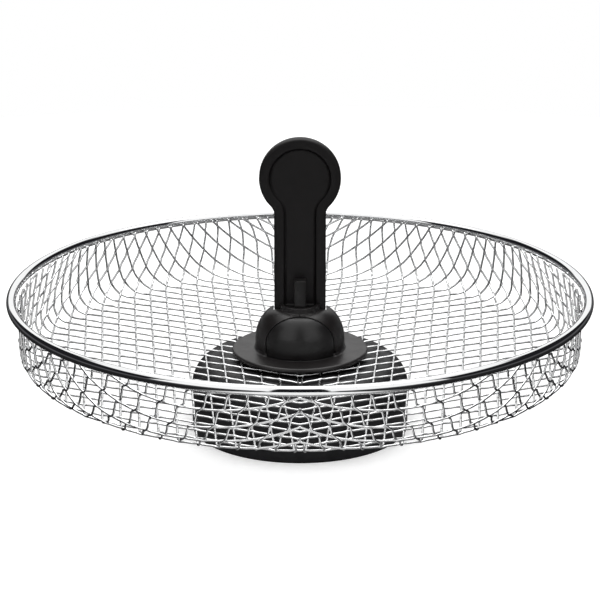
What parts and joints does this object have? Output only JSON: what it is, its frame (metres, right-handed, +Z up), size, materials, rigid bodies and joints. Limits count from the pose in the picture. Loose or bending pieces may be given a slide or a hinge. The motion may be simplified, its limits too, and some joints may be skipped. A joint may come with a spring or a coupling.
{
  "type": "fryer snack basket",
  "caption": "Round woven wire basket insert for a hot-air or deep fryer pan, on a black bell foot, with a hub that carries a folding upright handle and its release button.",
  "frame": {"origin": "centre of the bell foot, on the surface that the basket stands on", "axes": "+Z up along the basket's axis, +X along the handle's hinge axis, -Y towards the side of the hub that has the release button and the front cover"},
  "size_m": [0.25, 0.25, 0.128],
  "materials": {
    "rim_chrome": "polished",
    "mesh_chrome": "bright",
    "steel_plain": "bright",
    "bell_plastic": "satin moulded",
    "core_plastic": "satin moulded",
    "hub_plastic": "satin moulded",
    "cover_plastic": "satin moulded",
    "handle_plastic": "matt moulded",
    "button_plastic": "satin moulded",
    "shoe_rubber": "matt"
  },
  "bodies": {
    "basket": {"rim_ring": "rim_chrome", "floor_wires_across": "mesh_chrome", "floor_wires_away": "mesh_chrome", "wall_wires_across": "mesh_chrome", "wall_wires_away": "mesh_chrome", "upper_grip_washer": "steel_plain", "lower_grip_washer": "steel_plain", "base_bell": "bell_plastic", "hub_core": "core_plastic", "socket_bush": "steel_plain", "hub_housing": "hub_plastic", "front_cover": "cover_plastic", "housing_screws": "steel_plain", "pivot_pin": "steel_plain", "pin_clips": "steel_plain", "thrust_washers": "steel_plain", "button_spring": "steel_plain"},
    "handle": {"handle": "handle_plastic"},
    "button": {"release_button": "button_plastic", "brake_shoe": "shoe_rubber"}
  },
  "joints": [
    {"name": "handle_fold", "type": "hinge", "parent": "basket", "child": "handle", "pos_m": [0, 0.0026, 0.0415], "axis": [-1, 0, 0], "range_deg": [0, 90]},
    {"name": "button_press", "type": "slide", "parent": "basket", "child": "button", "axis": [0, 0, -1], "range_m": [0, 0.0025], "stiffness_N_per_m": 400, "springref_m": -0.002, "deforming": ["button_spring"]}
  ]
}
